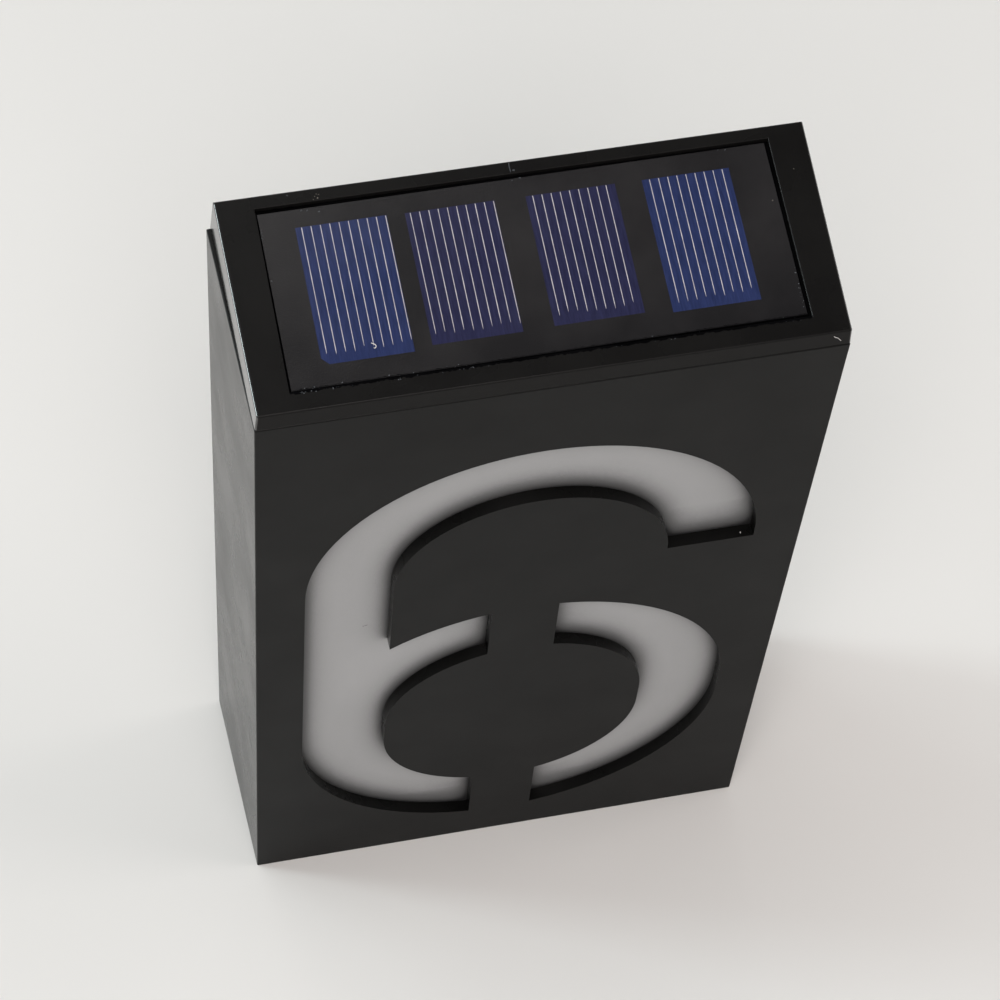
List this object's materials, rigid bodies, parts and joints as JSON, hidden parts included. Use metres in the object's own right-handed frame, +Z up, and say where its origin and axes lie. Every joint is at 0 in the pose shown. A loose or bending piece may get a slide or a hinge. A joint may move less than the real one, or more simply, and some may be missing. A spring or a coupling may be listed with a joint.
{
  "type": "solar illuminated house number sign",
  "caption": "Black drafted light box with a stencil numeral cut through its front, an opal sheet behind it and a lift-out wedge head with a solar panel on top.",
  "frame": {"origin": "under the middle of the box, at the height of its lowest edge, the lower back edge", "axes": "+Z up along the wall, +Y from the front face towards the wall, +X to the viewer's right"},
  "size_m": [0.1284, 0.0488, 0.2329],
  "materials": {
    "shell_plastic": "satin moulded black",
    "opal_plastic": "satin translucent grey",
    "reflector_plastic": "white gloss",
    "seal_rubber": "matte",
    "screw_steel": "bright",
    "panel_laminate": "black resin, lightly glossy",
    "cell_silicon": "blue under clear resin",
    "sealant": "ragged glossy bead, dark in the gap",
    "tray_plastic": "satin moulded black",
    "battery_sleeve": "gloss sleeve",
    "spring_steel": "nickel plated",
    "circuit_board": "green solder mask",
    "lamp_resin": "clear domes",
    "component_black": "matte",
    "capacitor_can": "satin",
    "switch_metal": "plated",
    "red_lead": "insulated wire",
    "black_lead": "insulated wire"
  },
  "bodies": {
    "shell": {"body_shell": "shell_plastic", "diffuser_sheet": "opal_plastic", "reflector_liner": "reflector_plastic", "back_cover": "shell_plastic", "back_cover_seal": "seal_rubber", "back_cover_screws": "screw_steel"},
    "solar_head": {"lid_frame": "shell_plastic", "head_seal": "seal_rubber", "solar_panel_board": "panel_laminate", "solar_cell_1": "cell_silicon", "solar_cell_2": "cell_silicon", "solar_cell_3": "cell_silicon", "solar_cell_4": "cell_silicon", "panel_sealant": "sealant", "head_tray": "tray_plastic", "head_tray_screws": "screw_steel", "battery": "battery_sleeve", "battery_contact_plus": "spring_steel", "battery_contact_minus": "spring_steel", "control_board": "circuit_board", "board_screws": "screw_steel", "led_lamps": "lamp_resin", "board_inductor": "component_black", "board_capacitor": "capacitor_can", "driver_chip": "component_black", "switch_body": "switch_metal", "switch_screws": "screw_steel", "panel_lead_minus": "black_lead", "panel_lead_plus": "red_lead", "battery_lead_minus": "black_lead", "battery_lead_plus": "red_lead", "switch_lead_feed": "red_lead", "switch_lead_return": "red_lead"},
    "door": {"battery_door": "tray_plastic"},
    "slider": {"switch_slider": "component_black"}
  },
  "joints": [
    {"name": "head_lift", "type": "slide", "parent": "shell", "child": "solar_head", "axis": [0, 0, 1], "range_m": [0, 0.045]},
    {"name": "door_slide", "type": "slide", "parent": "solar_head", "child": "door", "axis": [1, 0, 0], "range_m": [0, 0.0113]},
    {"name": "switch_slide", "type": "slide", "parent": "solar_head", "child": "slider", "axis": [1, 0, 0], "range_m": [0, 0.003]}
  ]
}
